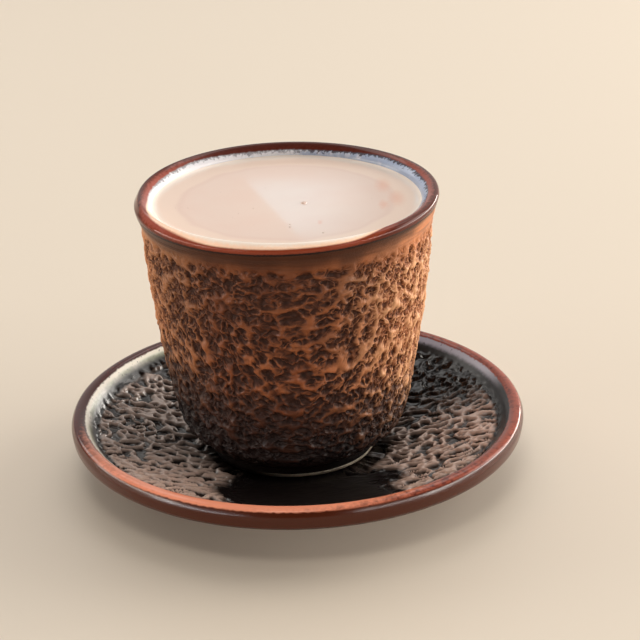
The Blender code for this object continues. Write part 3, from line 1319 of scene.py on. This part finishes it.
@dataclass(frozen=True)
class Studio:
    """The floor, the lights and the camera."""

    camera_back: float = 0.61425
    camera_up: float = 0.31204
    pitch: float = 23.385
    yaw: float = 0.697
    roll: float = -1.477
    focal_share: float = 2270 / 640
    floor_size: float = 6.0
    floor_colour: tuple = srgb(216, 203, 186)
    sky_colour: tuple = (1.0, 0.97, 0.93)
    sky_towards: tuple = (0.35, 0.85, 0.40)
    sky_dark: float = 0.02
    sky_bright: float = 0.8
    pane_corner: tuple = (-0.020, 0.3615)
    pane_slant: tuple = (0.765, -0.642)
    pane_blur: float = 0.0008
    pane_fade_across: tuple = (0.0, 0.05)
    pane_fade_low: tuple = (-0.006, 0.004)
    pane_fade_high: tuple = (0.02, 0.036)
    pane_colour: tuple = (0.2, 0.75, 1.0)
    lights: tuple = (
        SoftLight("right_strip", (1.2, 0.3, 0.26), (2.4, 0.2), 26.0, (1.0, 0.95, 0.88)),
        SoftLight("right_front", (1.1, -1.0, 0.3), (1.2, 0.05), 6.0, (1.0, 0.97, 0.93)),
        SoftLight("left_strip", (-1.2, -0.1, 0.22), (1.2, 0.14), 8.0, (1.0, 0.93, 0.84)),
        SoftLight("left_front", (-1.1, -0.95, 0.12), (1.1, 0.03), 6.5, (0.93, 0.96, 1.0)),
        SoftLight("left_window", (-1.15, 0.75, 0.7), (1.0, 0.5), 4.4, (1.0, 0.96, 0.9)),
        SoftLight("right_window", (1.2, 0.5, 0.75), (0.8, 0.45), 5.0, (1.0, 0.96, 0.9)),
        SoftLight("back", (0.0, 0.8, 1.2), (1.4, 0.6), 5.2, (1.0, 0.98, 0.96)),
        SoftLight("front_top", (-0.1, -0.6, 1.15), (0.4, 0.3), 2.6, (1.0, 0.96, 0.9)),
    )

    def build(self) -> None:
        """Set up the floor, the lights, the surroundings and the camera."""
        self.build_floor()
        for light in self.lights:
            light.build()
        self.build_sky()
        scene = bpy.context.scene
        scene.view_settings.view_transform = "Standard"
        scene.view_settings.look = "None"
        self.build_camera()

    def build_sky(self) -> None:
        """Surround the scene with soft light: bright behind and above, dim in front, with one pale pane."""
        world = bpy.data.worlds.new("surroundings")
        world.use_nodes = True
        graph = Graph(world.node_tree)
        background = world.node_tree.nodes["Background"]
        way = graph.add("ShaderNodeTexCoord").outputs["Generated"]
        x, y, z = graph.split(way)
        wires = {0: way, 1: self.sky_towards}
        facing = graph.add("ShaderNodeVectorMath", wires, operation="DOT_PRODUCT").outputs["Value"]
        glow = graph.ease(facing, 0.0, 0.95, self.sky_dark, self.sky_bright)
        across = graph.math("DIVIDE", x, graph.larger(y, 0.01))
        up = graph.math("DIVIDE", z, graph.larger(y, 0.01))
        left, low = self.pane_corner
        inside = graph.times(graph.minus(across, left), self.pane_slant[0])
        inside = graph.scaled(graph.minus(up, low), self.pane_slant[1], inside)
        pane = graph.past(inside, 0.0, self.pane_blur)
        pane = graph.times(pane, graph.ease(across, *self.pane_fade_across, 1.0, 0.0))
        for fade, *ends in ((self.pane_fade_low, 0.0, 1.0), (self.pane_fade_high, 1.0, 0.0)):
            pane = graph.times(pane, graph.ease(up, low + fade[0], low + fade[1], *ends))
        sky = graph.vector("SCALE", self.sky_colour, glow)
        light = graph.vector("ADD", sky, graph.vector("SCALE", self.pane_colour, pane))
        graph.wire(light, background.inputs["Color"])
        bpy.context.scene.world = world

    def build_floor(self) -> None:
        """Lay the plain pale floor."""
        half = self.floor_size / 2
        mesh = bpy.data.meshes.new("floor")
        corners = [(-half, -half, 0.0), (half, -half, 0.0), (half, half, 0.0), (-half, half, 0.0)]
        mesh.from_pydata(corners, [], [(0, 1, 2, 3)])
        material, _, shader = new_material("floor")
        shader.inputs["Base Color"].default_value = self.floor_colour
        shader.inputs["Roughness"].default_value = 0.55
        mesh.materials.append(material)
        floor = add_piece("floor", mesh)

    def build_camera(self) -> None:
        """Set the camera at the photograph's viewing angle."""
        pitch, yaw, roll = (math.radians(angle) for angle in (self.pitch, self.yaw, self.roll))
        ahead = Vector((math.sin(yaw) * math.cos(pitch), math.cos(yaw) * math.cos(pitch), -math.sin(pitch)))
        level = Vector((math.cos(yaw), -math.sin(yaw), 0.0))
        above = level.cross(ahead)
        right = level * math.cos(roll) + above * math.sin(roll)
        up = above * math.cos(roll) - level * math.sin(roll)
        data = bpy.data.cameras.new("camera")
        data.lens = data.sensor_width * self.focal_share
        data.clip_start = 0.01
        camera = bpy.data.objects.new("camera", data)
        turned = Matrix((right, up, -ahead)).transposed().to_4x4()
        camera.matrix_world = Matrix.Translation((0.0, -self.camera_back, self.camera_up)) @ turned
        bpy.context.scene.collection.objects.link(camera)
        bpy.context.scene.camera = camera


def main() -> None:
    """Build every piece."""
    logging.basicConfig(level=logging.INFO, format="%(message)s")
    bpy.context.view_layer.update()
    Studio().build()
    for maker in (Saucer(), Cup(), Drink()):
        maker.build()


if __name__ == "__main__":
    main()
